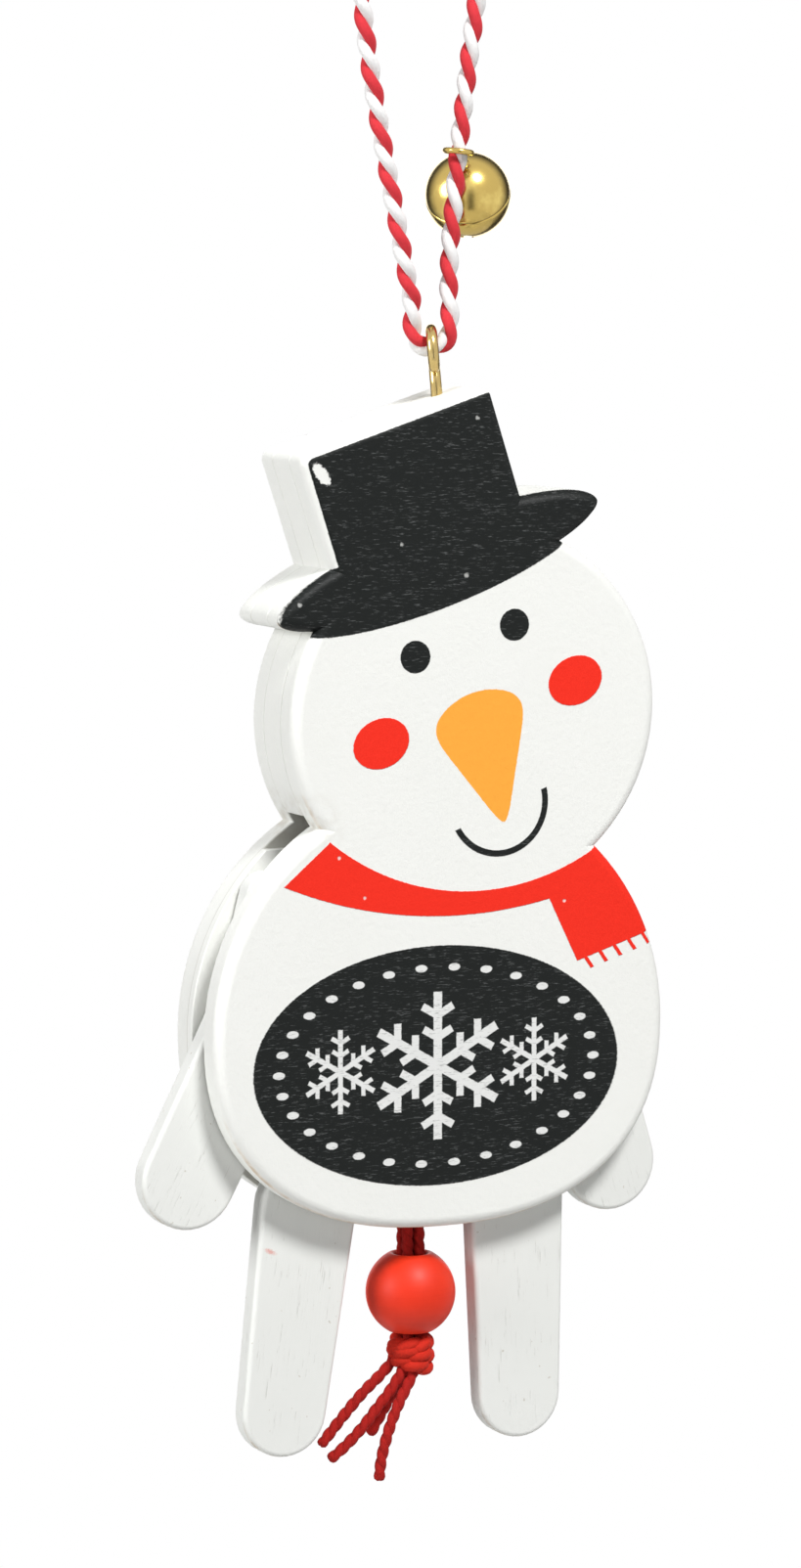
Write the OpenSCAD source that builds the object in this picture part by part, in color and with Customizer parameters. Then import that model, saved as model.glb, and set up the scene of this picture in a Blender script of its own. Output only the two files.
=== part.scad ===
// Hanging snowman jumping jack, in millimetres.
// Two painted boards share one outline of hat, head and body. A middle layer in hat and head keeps
// them apart, and four limbs swing on pins in the slot below it. A string from each limb runs down
// through a bead: pulling the bead swings the limbs out. The toy hangs on a screw eye in the hat.
// Origin at the centre of the eye's ring, x to the viewer's right, y away from the viewer, z up.

/* [Boards] */
// Thickness of the front board and of the back board
board_t = 3.5; // [3:0.1:5]
// Width of the slot between the boards, which is the thickness of the middle layer
slot_t = 4.3; // [4.2:0.1:6]
// Width of the back board's rim, which narrows the slot behind the arms
rim_w = 1.8; // [1.2:0.1:2.4]
// Gap between the rim and the backs of the arms
rim_gap = 0.3; // [0.3:0.05:0.4]
// Height of the rim's top above the middle of the body
rim_rise = 18.6; // [14:0.1:18.8]
// Depth of the rim's lower ends below the middle of the body
rim_drop = 7; // [4:0.1:9]
// Depth of the middle layer below the middle of the head
middle_drop = 9.9; // [6:0.1:11]

/* [Hat] */
// Lean of the hat to the viewer's left
hat_tilt = 18; // [0:1:25]
// Length of the oval brim
brim_w = 37.2; // [32:0.1:42]
// Height of the oval brim
brim_h = 7.8; // [6:0.1:10]
// Width of the hat's crown
crown_w = 22.1; // [18:0.1:26]
// How far the crown stands to the viewer's left of the brim's middle
crown_shift = 0.45; // [0:0.05:1]
// Height of the crown above the middle of the brim
crown_h = 15.1; // [12:0.1:19]
// Radius of the crown's two top corners
crown_corner_r = 1.2; // [0.5:0.1:3]

/* [Head] */
// Length of the head across the face
head_w = 40.8; // [37:0.1:45]
// Height of the head
head_h = 38.9; // [36:0.1:43]
// Lean of the head's oval to the viewer's left
head_tilt = 18; // [0:1:25]
// Overlap of the brim's middle line on the top of the head
hat_overlap = 3.2; // [2:0.1:5]
// Sideways shift of the head under the hat
head_shift = -1.1; // [-3:0.1:3]

/* [Body] */
// Width of the body
body_w = 50.2; // [48:0.1:56]
// Depth of the body below its widest line
body_drop = 20.4; // [19:0.1:24]
// Fullness of the lower body, where 2 is an oval and more is squarer
body_fullness = 2.35; // [2.1:0.05:3]
// Distance of the body's middle line from the head's, to the viewer's left
body_shift = 3.7; // [0:0.1:6]
// Overlap of the round body on the lower edge of the head
neck_overlap = 12.4; // [10:0.1:14]

/* [Arms] */
// Width of an arm at the shoulder
arm_w = 10.8; // [9:0.1:11]
// Width of an arm at the hand
hand_w = 10.2; // [8:0.1:10.4]
// Distance from the shoulder pin to the middle of the hand's round end
arm_len = 19.6; // [17:0.1:26]
// Width of the arm's upper end, inside the slot
shoulder_w = 5; // [4.4:0.1:5.2]
// Length from the pin to the middle of the upper end
shoulder_len = 11; // [6:0.1:11]
// Outward lean of the upper end
shoulder_lean = 1; // [0:0.5:2]
// Distance of a shoulder pin from the pull string's line
arm_pin_dx = 16.2; // [15.5:0.1:18]
// Height of the shoulder pins above the body's widest line
arm_pin_dz = 3.1; // [2:0.1:6]
// Angle of the left arm from hanging straight down
left_arm_angle = 27.5; // [10:0.5:40]
// Angle of the right arm from hanging straight down
right_arm_angle = 17.5; // [17:0.5:40]
// Swing of an arm over the whole pull
arm_swing = 70; // [50:1:90]

/* [Legs] */
// Width of a leg at the hip, inside the slot
hip_w = 6.8; // [6:0.1:7]
// Width of a leg at its widest place, near the lower edge of the body
leg_w = 10.6; // [9:0.1:10.8]
// Width of a leg at the foot
foot_w = 9.2; // [8:0.1:10]
// Distance from the hip pin to the widest place of the leg
leg_wide_at = 6.5; // [6:0.1:11]
// Distance from the hip pin to the middle of the foot's round end
leg_len = 27.8; // [24:0.1:34]
// Distance of a hip pin from the pull string's line
leg_pin_dx = 11.2; // [11:0.1:11.4]
// Depth of the hip pins below the body's widest line
leg_pin_dz = 11.5; // [11:0.1:13]
// Angle of the left leg from hanging straight down
left_leg_angle = 7.5; // [0:0.5:15]
// Angle of the right leg from hanging straight down
right_leg_angle = 1; // [0:0.5:3]
// Swing of a leg over the whole pull
leg_swing = 45; // [40:1:60]

/* [Limb works] */
// Distance of the pull string's line from the body's middle line, to the viewer's left
works_shift = 1.2; // [0:0.1:1.5]
// Thickness of the arms and legs
limb_t = 2.6; // [2:0.1:2.7]
// Gap between the limbs and the front board
limb_gap = 0.25; // [0.15:0.05:0.3]
// Diameter of the pivot pins
pin_d = 2; // [1.6:0.1:3]
// Depth of a pin's end in each board
pin_seat = 2.2; // [1.5:0.1:2.8]
// Radial running clearance of a limb on its pin
pin_clearance = 0.05; // [0.02:0.01:0.1]
// Travel of the pull string
pull_travel = 5.2; // [4:0.1:5.6]
// Diameter of the string hole in a limb
string_hole_d = 1.8; // [1.4:0.1:2.2]
// Wood left round a string hole
string_hole_rim = 1; // [0.8:0.1:1.2]

/* [Pull string] */
// Diameter of each of the four strings
string_d = 1.2; // [0.8:0.1:1.2]
// Distance of the bead's middle below the lower edge of the body
bead_drop = 7.5; // [6.5:0.1:10]
// Diameter of the bead
bead_d = 9.3; // [8:0.1:10]
// Height of the bead between its two flat ends
bead_h = 8.7; // [7:0.1:8.9]
// Diameter of the hole in the bead
bead_bore_d = 3.4; // [3.2:0.1:4]
// Width of the knot under the bead
knot_w = 5; // [4.4:0.1:6]
// Height of the knot under the bead
knot_h = 4.2; // [3.6:0.1:5]

/* [Screw eye] */
// Diameter of the eye's ring at the middle of its wire
eye_ring_d = 4; // [3.9:0.1:4.4]
// Diameter of the eye's wire
eye_wire_d = 1.2; // [1:0.1:1.3]
// Distance from the middle of the ring to the hat's top edge
eye_stand = 4.65; // [4:0.05:7]
// Depth of the screw in the middle layer
eye_depth = 9; // [6:0.5:12]
// Place of the eye along the hat's top edge, from the crown's middle to the viewer's right
eye_offset = 7; // [0:0.1:8]
// Lean of the eye, with its ring to the viewer's left
eye_lean = 5.5; // [0:0.5:8]
// Turn of the ring round the screw
eye_turn = 24; // [0:1:30]

/* [Hanging loop] */
// Diameter of the twine
cord_d = 1.9; // [1.5:0.1:2]
// Width of the knot that closes the loop
loop_knot_w = 5; // [4.6:0.1:6]
// Height of the knot that closes the loop
loop_knot_h = 4.4; // [4:0.1:5]
// Length of the twine's two ends above the knot
loop_tail = 6; // [4:0.5:10]

/* [Bell] */
// Diameter of the bell
bell_d = 8.8; // [8:0.1:9]
// Thickness of the bell's wall
bell_wall = 0.45; // [0.3:0.05:0.7]
// Width of the bell's crossed sound slots
bell_slot_w = 0.9; // [0.6:0.1:1.2]
// Diameter of the round ends of the slots
bell_slot_end_d = 1.5; // [1.2:0.1:1.8]
// Angle from the bell's lower pole to the end of a slot
bell_slot_angle = 52; // [40:1:58]
// Diameter of the bell's wire loop at the middle of its wire
bell_loop_d = 2.7; // [2.7:0.1:3.6]
// Diameter of the loop's wire
bell_wire_d = 0.6; // [0.5:0.1:0.9]
// Direction of the bell behind the strand, from straight back towards the viewer's right
bell_azimuth = 35; // [20:1:60]
// Diameter of the loose ball in the bell
pellet_d = 2.4; // [2:0.1:3]

/* [Hidden] */

// Facets of round solids, and points of a full round outline
$fn = 64;
outline_steps = 96;
// Points of a limb's round end and of a crown corner
end_steps = 18;
corner_steps = 6;
// Sides of a swept string or twine
cord_sides = 8;

// How far a cut runs past the face that it starts from
overrun = 1;
// Gap round a pin, screw or tie that is glued or driven into its hole
seat_gap = 0.02;
// Gap between pieces that lie against each other
rest_gap = 0.1;

left = -1;
right = 1;

// Places across the thickness
half_t = slot_t / 2 + board_t;
limb_y = -slot_t / 2 + limb_gap;

// Chain of places from the eye down to the bead
eye_base = eye_stand * [sin(eye_lean), -cos(eye_lean)];
hat_at = eye_base - turned([eye_offset, crown_h], hat_tilt);
head_at = hat_at + turned([head_shift, hat_overlap - head_h / 2], head_tilt);
body_at = [head_at.x - body_shift, head_at.y - head_h / 2 + neck_overlap - body_w / 2];
works_x = body_at.x - works_shift;
bead_at = [works_x, body_at.y - body_drop - bead_drop];
knot_z = bead_at.y - bead_h / 2 - rest_gap - knot_h / 2;

// Levers of the limbs: the string holes travel as far as the pull string, half above the pin and
// half below it
arm_lever = pull_travel / 2 / sin(arm_swing / 2);
leg_lever = pull_travel / 2 / sin(leg_swing / 2);
ear_root_share = 1.4;
string_rim_r = string_hole_d / 2 + string_hole_rim;
ear_r = ear_root_share * string_rim_r;

// Routes of the strings from the limb's string hole to the free end, from the middle of the bead
left_arm_route = [[-12.5, 1.4, 33.6], [-9.6, 1.4, 31.8], [-6.7, 1.1, 29.9], [-3.9, 0.3, 27.9],
    [-1.9, -0.4, 25.5], [-0.9, -0.7, 22.4], [-0.75, -0.7, 17], [-0.65, -0.65, 6],
    [-0.65, -0.65, -5], [-1.1, -0.7, -7.7], [-2.4, -0.8, -9.7], [-4.1, -0.8, -11.7],
    [-5.9, -0.7, -13.8], [-7.7, -0.6, -15.5], [-9.4, -0.5, -16.8]];
right_arm_route = [[12.5, 1.4, 33.6], [9.6, 1.4, 31.8], [6.7, 1.1, 29.9], [3.9, 0.3, 27.9],
    [1.9, -0.4, 25.5], [0.9, -0.7, 22.4], [0.75, -0.7, 17], [0.65, -0.65, 6],
    [0.65, -0.65, -5], [0.2, -0.9, -7.5], [-0.8, -1.3, -9.3], [-1.9, -1.6, -11],
    [-2.8, -1.6, -13], [-3.5, -1.5, -15.2], [-3.9, -1.3, -17.2], [-4.1, -1.2, -19.3]];
left_leg_route = [[-4.9, 1.4, 19], [-3.9, 1.4, 17], [-2.4, 1.2, 14.4], [-1.2, 0.85, 11.4],
    [-0.7, 0.65, 8], [-0.65, 0.65, 5], [-0.65, 0.65, -5], [-1.6, 0.6, -7], [-3.2, 0.5, -8.6],
    [-5, 0.45, -10.1], [-7.2, 0.4, -12.3], [-8.9, 0.3, -14.1], [-10.1, 0.2, -15.4]];
right_leg_route = [[4.9, 1.4, 19], [3.9, 1.4, 17], [2.4, 1.2, 14.4], [1.2, 0.85, 11.4],
    [0.7, 0.65, 8], [0.65, 0.65, 5], [0.65, 0.65, -5], [0.3, 0.8, -7.6], [-0.6, 1, -9.3],
    [-1.9, 1.2, -11.4], [-3.2, 1.3, -13.6], [-4.1, 1.3, -15]];

// Route of the twine from its knot down the left strand, through the eye and up the right strand
loop_knot_at = [-1.5, 0, 45];
// Lean of the twine's two ends above the knot
tail_lean = 16;
cord_route = [[-3, 0, 44.6], [-5.3, 0, 43.2], [-7.2, 0, 40.7], [-7.95, 0, 37.4], [-7.6, 0, 33],
    [-6.8, 0, 27.5], [-5.6, 0, 21], [-4.3, 0, 14.5], [-3, 0, 8], [-2.15, 0.3, 4.4], [-2, 0.6, 2.2],
    [-1.48, 0.48, 0.65], [-0.2, 0, 0.15], [1.08, -0.48, 0.65], [1.6, -0.6, 2.2], [1.65, -0.3, 5],
    [1.9, 0, 10], [2.35, 0, 15], [2.85, 0, 20], [3.5, 0, 25.2], [4.2, 0, 30.6], [4.85, 0, 35.2],
    [5.1, 0, 38.3], [4.5, 0, 41.2], [2.4, 0, 43.5], [0, 0, 44.6]];
bell_stop = 18;
bell_ring_at = cord_route[bell_stop];
strand_step = cord_route[bell_stop + 1] - cord_route[bell_stop - 1];
strand_lean = atan2(strand_step.x, strand_step.z);

// Bell: its ball hangs behind the strand, as far below the loop as its own radius
bell_reach = bell_d / 2 + cord_d / 2 + rest_gap;
bell_back = [sin(bell_azimuth), cos(bell_azimuth), 0];
bell_at = bell_ring_at + bell_reach * bell_back - [0, 0, bell_d / 2];
bell_lean = atan2(bell_reach - bell_loop_d / 2, bell_d / 2);
bell_stem = norm([bell_reach - bell_loop_d / 2, bell_d / 2]);
bell_bore_r = bell_d / 2 - bell_wall;

function turned(p, angle) = [p.x * cos(angle) - p.y * sin(angle), p.x * sin(angle) + p.y * cos(angle)];

function arc(at, r, start, sweep, steps) =
    [for (i = [0 : steps]) let (a = start + sweep * i / steps) at + r * [cos(a), sin(a)]];

function oval(at, w, h, angle) =
    [for (i = [0 : outline_steps - 1]) let (a = 360 * i / outline_steps)
        at + turned([w / 2 * cos(a), h / 2 * sin(a)], angle)];

// Round above the widest line, and a fuller oval below it
function body_outline(inset = 0) =
    [for (i = [0 : outline_steps - 1]) let (
        a = 360 * i / outline_steps,
        power = sin(a) < 0 ? 2 / body_fullness : 1,
        rise = (sin(a) < 0 ? body_drop : body_w / 2) - inset)
        body_at + [
            sign(cos(a)) * (body_w / 2 - inset) * pow(abs(cos(a)), power),
            sign(sin(a)) * rise * pow(abs(sin(a)), power)]];

function crown_outline() = let (
    side = crown_w / 2 - crown_corner_r,
    top = crown_h - crown_corner_r)
    [for (p = concat(
        [[-crown_w / 2, 0], [crown_w / 2, 0]],
        arc([side, top], crown_corner_r, 0, 90, corner_steps),
        arc([-side, top], crown_corner_r, 90, 90, corner_steps)))
        hat_at + turned(p - [crown_shift, 0], hat_tilt)];

// Two circles and their common tangents: radius r1 at the origin, radius r2 at l below it
function tongue(r1, r2, l) = let (lean = asin((r1 - r2) / l)) concat(
    arc([0, 0], r1, -lean, 180 + 2 * lean, end_steps),
    arc([0, -l], r2, 180 + lean, 180 - 2 * lean, end_steps));

function pin_at(side, dx, dz) = [works_x + side * dx, body_at.y + dz];

// The string hole lies inside and above the pin by half the limb's swing
function hole_at(side, pin, lever, swing) = pin + lever * [-side * cos(swing / 2), sin(swing / 2)];

function unit(v) = v / norm(v);

function tangent(path, i) = unit(path[min(i + 1, len(path) - 1)] - path[max(i - 1, 0)]);

function ring(at, along, r) = let (
    b = unit([0, 1, 0] - along * along.y),
    n = cross(b, along))
    [for (k = [0 : cord_sides - 1]) let (a = 360 * k / cord_sides) at + r * (cos(a) * n + sin(a) * b)];

// A tube of triangles swept along the points of a route
module cord(path, d) {
    last = len(path) - 1;
    points = [for (i = [0 : last]) each ring(path[i], tangent(path, i), d / 2)];
    sides = [for (i = [0 : last - 1], k = [0 : cord_sides - 1]) let (
        a = i * cord_sides + k,
        b = i * cord_sides + (k + 1) % cord_sides)
        each [[a, a + cord_sides, b], [b, a + cord_sides, b + cord_sides]]];
    start_cap = [for (k = [0 : cord_sides - 1]) k];
    end_cap = [for (k = [cord_sides - 1 : -1 : 0]) last * cord_sides + k];
    polyhedron(points, concat(sides, [start_cap, end_cap]));
}

// A flat piece of the x-z plane, from y to y + t
module slab(y, t) {
    translate([0, y + t, 0]) rotate([90, 0, 0]) linear_extrude(height = t) children();
}

// A round piece along y, from y to y + t, at a point of the x-z plane
module rod(at, y, t, d) {
    translate([at.x, y + t, at.y]) rotate([90, 0, 0]) cylinder(h = t, d = d);
}

module torus(ring_d, wire_d) {
    rotate_extrude() translate([ring_d / 2, 0]) circle(d = wire_d);
}

module hat_and_head() {
    polygon(oval(hat_at, brim_w, brim_h, hat_tilt));
    polygon(crown_outline());
    polygon(oval(head_at, head_w, head_h, head_tilt));
}

module all_pin_places() {
    for (side = [left, right]) {
        at = pin_at(side, arm_pin_dx, arm_pin_dz);
        translate([at.x, 0, at.y]) children();
    }
    for (side = [left, right]) {
        at = pin_at(side, leg_pin_dx, -leg_pin_dz);
        translate([at.x, 0, at.y]) children();
    }
}

// A board of the whole outline, with blind holes for the pins on its inner face
module snowman_board(y) {
    difference() {
        slab(y, board_t) {
            hat_and_head();
            polygon(body_outline());
        }
        all_pin_places() rod([0, 0], -slot_t / 2 - pin_seat, slot_t + 2 * pin_seat, pin_d + 2 * seat_gap);
    }
}

module front_board() {
    color("whitesmoke") snowman_board(-half_t);
}

// A low rim along both shoulders, behind the arms
module shoulder_rim() {
    rim_y = limb_y + limb_t + rim_gap;
    slab(rim_y, slot_t / 2 - rim_y + overrun) intersection() {
        difference() {
            polygon(body_outline());
            polygon(body_outline(rim_w));
        }
        translate(body_at - [body_w, rim_drop]) square([2 * body_w, rim_rise + rim_drop]);
    }
}

module back_board() {
    color("white") union() {
        snowman_board(slot_t / 2);
        shoulder_rim();
    }
}

module eye_axis() {
    rotate([0, -eye_lean, 0]) children();
}

module head_spacer() {
    reach = 2 * (head_w + brim_w);
    color("ivory") difference() {
        slab(-slot_t / 2, slot_t) intersection() {
            union() hat_and_head();
            translate([head_at.x - reach / 2, head_at.y - middle_drop]) square(reach);
        }
        eye_axis() translate([0, 0, -eye_stand - eye_depth])
            cylinder(h = eye_stand + eye_depth, d = eye_wire_d + 2 * seat_gap);
    }
}

// Ring and straight shank, with a pointed end
module screw_eye() {
    point = eye_wire_d;
    color("gold") eye_axis() rotate([0, 0, -eye_turn]) {
        rotate([0, 90, 0]) torus(eye_ring_d, eye_wire_d);
        translate([0, 0, point - eye_stand - eye_depth])
            cylinder(h = eye_stand + eye_depth - point - eye_ring_d / 2, d = eye_wire_d);
        translate([0, 0, -eye_stand - eye_depth]) cylinder(h = point, d1 = 0, d2 = eye_wire_d);
    }
}

module hanger_cord() {
    color("tomato") cord(cord_route, cord_d);
}

// A knot of two turns, one above the other
module two_turn_knot(w, h) {
    turn_d = h / 2;
    for (lift = [-1, 1]) translate([0, 0, lift * turn_d / 2]) torus(w - turn_d, turn_d);
    cylinder(h = turn_d, d = w - turn_d / 2, center = true);
    cylinder(h = h, d = w - turn_d, center = true);
}

module hanger_knot() {
    color("tomato") translate(loop_knot_at) {
        two_turn_knot(loop_knot_w, loop_knot_h);
        for (side = [left, right]) translate([side * cord_d / 2, 0, 0]) rotate([0, side * tail_lean, 0])
            cylinder(h = loop_knot_h / 2 + loop_tail, d = cord_d);
    }
}

module pivot_pin(at) {
    color("tan") rod(at, -slot_t / 2 - pin_seat, slot_t + 2 * pin_seat, pin_d);
}

module left_arm_pin() pivot_pin(pin_at(left, arm_pin_dx, arm_pin_dz));
module right_arm_pin() pivot_pin(pin_at(right, arm_pin_dx, arm_pin_dz));
module left_leg_pin() pivot_pin(pin_at(left, leg_pin_dx, -leg_pin_dz));
module right_leg_pin() pivot_pin(pin_at(right, leg_pin_dx, -leg_pin_dz));

// A limb that hangs from its pin at an angle, with an ear inside the pin for the string
module limb(side, pin, angle, lever, swing) {
    hole = hole_at(side, pin, lever, swing);
    ear_turn = 180 + side * (90 - swing / 2);
    color("whitesmoke") difference() {
        slab(limb_y, limb_t) {
            translate(pin) rotate(side * angle) children();
            translate(pin) rotate(ear_turn) polygon(tongue(ear_r, string_rim_r, lever));
        }
        rod(pin, limb_y - overrun, limb_t + 2 * overrun, pin_d + 2 * pin_clearance);
        rod(hole, limb_y - overrun, limb_t + 2 * overrun, string_hole_d);
    }
}

// The upper end of an arm stands upright in the slot when the arm hangs
module arm(side, angle) {
    limb(side, pin_at(side, arm_pin_dx, arm_pin_dz), angle, arm_lever, arm_swing) {
        polygon(tongue(arm_w / 2, hand_w / 2, arm_len));
        rotate(180 - side * (shoulder_lean + angle))
            polygon(tongue(arm_w / 2, shoulder_w / 2, shoulder_len));
    }
}

module leg(side, angle) {
    limb(side, pin_at(side, leg_pin_dx, -leg_pin_dz), angle, leg_lever, leg_swing) {
        polygon(tongue(hip_w / 2, leg_w / 2, leg_wide_at));
        translate([0, -leg_wide_at]) polygon(tongue(leg_w / 2, foot_w / 2, leg_len - leg_wide_at));
    }
}

module left_arm() arm(left, left_arm_angle);
module right_arm() arm(right, right_arm_angle);
module left_leg() leg(left, left_leg_angle);
module right_leg() leg(right, right_leg_angle);

// The tied and glued end of a string in its hole
module string_tie(hole) {
    color("firebrick") rod(hole, limb_y, limb_t, string_hole_d - 2 * seat_gap);
}

module arm_tie(side) string_tie(hole_at(side, pin_at(side, arm_pin_dx, arm_pin_dz), arm_lever, arm_swing));
module leg_tie(side) string_tie(hole_at(side, pin_at(side, leg_pin_dx, -leg_pin_dz), leg_lever, leg_swing));

module left_arm_tie() arm_tie(left);
module right_arm_tie() arm_tie(right);
module left_leg_tie() leg_tie(left);
module right_leg_tie() leg_tie(right);

module pull_string(route) {
    color("firebrick") translate([bead_at.x, 0, bead_at.y]) cord(route, string_d);
}

module left_arm_string() pull_string(left_arm_route);
module right_arm_string() pull_string(right_arm_route);
module left_leg_string() pull_string(left_leg_route);
module right_leg_string() pull_string(right_leg_route);

module pull_bead() {
    color("red") translate([bead_at.x, 0, bead_at.y]) difference() {
        intersection() {
            sphere(d = bead_d);
            cylinder(h = bead_h, d = bead_d, center = true);
        }
        cylinder(h = bead_h + 2 * overrun, d = bead_bore_d, center = true);
    }
}

module pull_knot() {
    color("firebrick") translate([bead_at.x, 0, knot_z]) two_turn_knot(knot_w, knot_h);
}

// The bell's own frame: its middle at the origin, its loop above
module bell_frame() {
    translate(bell_at) rotate([0, 0, 270 - bell_azimuth]) rotate([0, bell_lean, 0]) children();
}

// One half of the hollow ball, above or below the middle
module half_ball(side) {
    difference() {
        sphere(d = bell_d);
        sphere(r = bell_bore_r);
        translate([0, 0, -side * bell_d / 2]) cube(bell_d * [2, 2, 1], center = true);
    }
}

module bell_upper() {
    color("goldenrod") bell_frame() difference() {
        half_ball(1);
        cylinder(h = bell_d, d = bell_wire_d + 2 * seat_gap);
    }
}

module bell_lower() {
    slot_l = bell_d * sin(bell_slot_angle);
    slot_top = bell_d / 2 * cos(bell_slot_angle);
    color("goldenrod") bell_frame() difference() {
        half_ball(-1);
        for (turn = [0, 90]) rotate([0, 0, turn]) {
            translate([-slot_l / 2, -bell_slot_w / 2, -bell_d])
                cube([slot_l, bell_slot_w, bell_d - slot_top]);
            for (side = [left, right]) rotate([0, 180 + side * bell_slot_angle, 0])
                cylinder(h = bell_d, d = bell_slot_end_d);
        }
    }
}

// The wire loop, with a stem through the top of the ball
module bell_loop() {
    color("goldenrod") {
        translate(bell_ring_at) rotate([0, strand_lean, 0]) torus(bell_loop_d, bell_wire_d);
        bell_frame() translate([0, 0, bell_bore_r - bell_wall])
            cylinder(h = bell_stem - bell_bore_r + bell_wall, d = bell_wire_d);
    }
}

module bell_pellet() {
    color("silver") translate(bell_at - [0, 0, bell_bore_r - pellet_d / 2 - rest_gap]) sphere(d = pellet_d);
}

front_board();
back_board();
head_spacer();
screw_eye();
hanger_cord();
hanger_knot();
left_arm_pin();
right_arm_pin();
left_leg_pin();
right_leg_pin();
left_arm();
right_arm();
left_leg();
right_leg();
left_arm_tie();
right_arm_tie();
left_leg_tie();
right_leg_tie();
left_arm_string();
right_arm_string();
left_leg_string();
right_leg_string();
pull_bead();
pull_knot();
bell_upper();
bell_lower();
bell_loop();
bell_pellet();
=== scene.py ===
# %% [markdown]
# # A pull string jumping jack
# The real toy is a flat wooden snowman: two painted boards with a slot between them, in which arms
# and legs hang on pins. A beaded string pulls the limbs up, and the toy hangs from a twine loop.
# The solids come from the imported model, so the first step loads them and can read their box: every
# piece made below goes where a solid is.

# %% Load the imported solids
import math

import bpy
import numpy as np
from mathutils import Matrix, Vector
from mathutils.geometry import tessellate_polygon


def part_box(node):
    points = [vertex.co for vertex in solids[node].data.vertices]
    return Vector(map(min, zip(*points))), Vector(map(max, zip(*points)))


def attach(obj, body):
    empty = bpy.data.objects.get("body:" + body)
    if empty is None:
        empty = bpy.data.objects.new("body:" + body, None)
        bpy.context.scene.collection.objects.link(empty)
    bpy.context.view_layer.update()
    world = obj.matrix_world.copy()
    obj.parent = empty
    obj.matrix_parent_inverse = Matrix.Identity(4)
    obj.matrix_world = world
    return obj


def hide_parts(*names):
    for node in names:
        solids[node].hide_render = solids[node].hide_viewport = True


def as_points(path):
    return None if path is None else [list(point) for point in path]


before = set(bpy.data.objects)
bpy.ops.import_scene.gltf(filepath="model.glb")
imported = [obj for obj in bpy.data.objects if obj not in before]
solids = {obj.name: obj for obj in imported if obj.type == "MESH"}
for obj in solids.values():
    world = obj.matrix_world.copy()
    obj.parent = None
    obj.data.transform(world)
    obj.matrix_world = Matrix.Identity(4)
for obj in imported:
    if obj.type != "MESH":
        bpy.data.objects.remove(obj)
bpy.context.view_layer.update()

MM = 0.001

# %% [markdown]
# ## Camera
# The photograph looks at the toy a little from its left and from above, with a long lens. A camera
# could be placed by eye, but here its turn, tilt, distance and lens were fitted to the outlines of
# the boards, so the script only writes these numbers down. The lens was fitted in pixels of the
# photograph's height.

# %% Camera
view_target = Vector((-0.0036, 0, -0.0443))
view_turn, view_tilt, view_distance = math.radians(24.2), math.radians(5.98), 0.605
towards_camera = Vector((
    -math.sin(view_turn) * math.cos(view_tilt),
    -math.cos(view_turn) * math.cos(view_tilt),
    math.sin(view_tilt)))
camera = bpy.data.objects.new("camera", bpy.data.cameras.new("camera"))
focal_px, photo_px, sensor_mm = 6050, 1603, 36
camera.data.sensor_fit = "VERTICAL"
camera.data.sensor_height = sensor_mm
camera.data.lens = focal_px / photo_px * sensor_mm
camera.data.clip_start = 0.01
camera.location = view_target + view_distance * towards_camera
camera.rotation_euler = towards_camera.to_track_quat("Z", "Y").to_euler()
bpy.context.scene.collection.objects.link(camera)
bpy.context.scene.camera = camera
print("camera at", [round(c, 4) for c in camera.location], "lens", round(camera.data.lens, 1))

# %% [markdown]
# ## Twisted cords
# Twine is not a smooth tube: two plies wind round each other, and each ply bulges between the
# crossings. A curve with a bevel would miss that. Here a smooth line runs through the route's points,
# a pair of side directions is carried along it, and each ply is a tube that winds round the line.

# %% A smooth line through a route
def run_along(line):
    """Distance along a line from its first point to each point."""
    return np.r_[0, np.cumsum(np.linalg.norm(np.diff(line, axis=0), axis=1))]


def smooth_line(points, step):
    """Evenly spaced points along a smooth curve through the given points, in mm."""
    p = np.array(points, float)
    t = run_along(p)
    slope = np.gradient(p, t, axis=0)
    fine = np.linspace(0, t[-1], 40 * len(p))
    i = np.clip(np.searchsorted(t, fine, side="right") - 1, 0, len(p) - 2)
    h = (t[i + 1] - t[i])[:, None]
    u = (fine - t[i])[:, None] / h
    curve = ((1 + 2 * u) * (1 - u) ** 2 * p[i] + u * (1 - u) ** 2 * h * slope[i]
             + u * u * (3 - 2 * u) * p[i + 1] + u * u * (u - 1) * h * slope[i + 1])
    run = run_along(curve)
    even = np.linspace(0, run[-1], max(2, round(run[-1] / step)) + 1)
    return np.stack([np.interp(even, run, curve[:, k]) for k in range(3)], axis=1)


def unit(v):
    return v / np.linalg.norm(v, axis=-1, keepdims=True)


def directions_along(line):
    """Tangent and two side directions at each point, turned as little as possible."""
    along = unit(np.gradient(line, axis=0))
    side = np.zeros_like(line)
    last = np.array([0.0, 1, 0]) if abs(along[0][1]) < 0.9 else np.array([1.0, 0, 0])
    for k, a in enumerate(along):
        last = unit(last - a * (last @ a))
        side[k] = last
    return along, side, np.cross(along, side)


print("line helpers: run_along, smooth_line, directions_along")

# %% Tubes and spun cords
def tube_parts(line, radius, sides=12):
    """Corners and faces of a closed tube whose radius may change along its line, in mm."""
    _, side, third = directions_along(line)
    radius = np.broadcast_to(radius, len(line))
    turn = np.arange(sides) * 2 * math.pi / sides
    rings = (line[:, None] + radius[:, None, None]
             * (np.cos(turn)[:, None] * side[:, None] + np.sin(turn)[:, None] * third[:, None]))
    faces = []
    for i in range(len(line) - 1):
        for k in range(sides):
            a, b = i * sides + k, i * sides + (k + 1) % sides
            faces.append((a, b, b + sides, a + sides))
    faces.append(tuple(range(sides))[::-1])
    faces.append(tuple((len(line) - 1) * sides + k for k in range(sides)))
    return rings.reshape(-1, 3), faces


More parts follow.
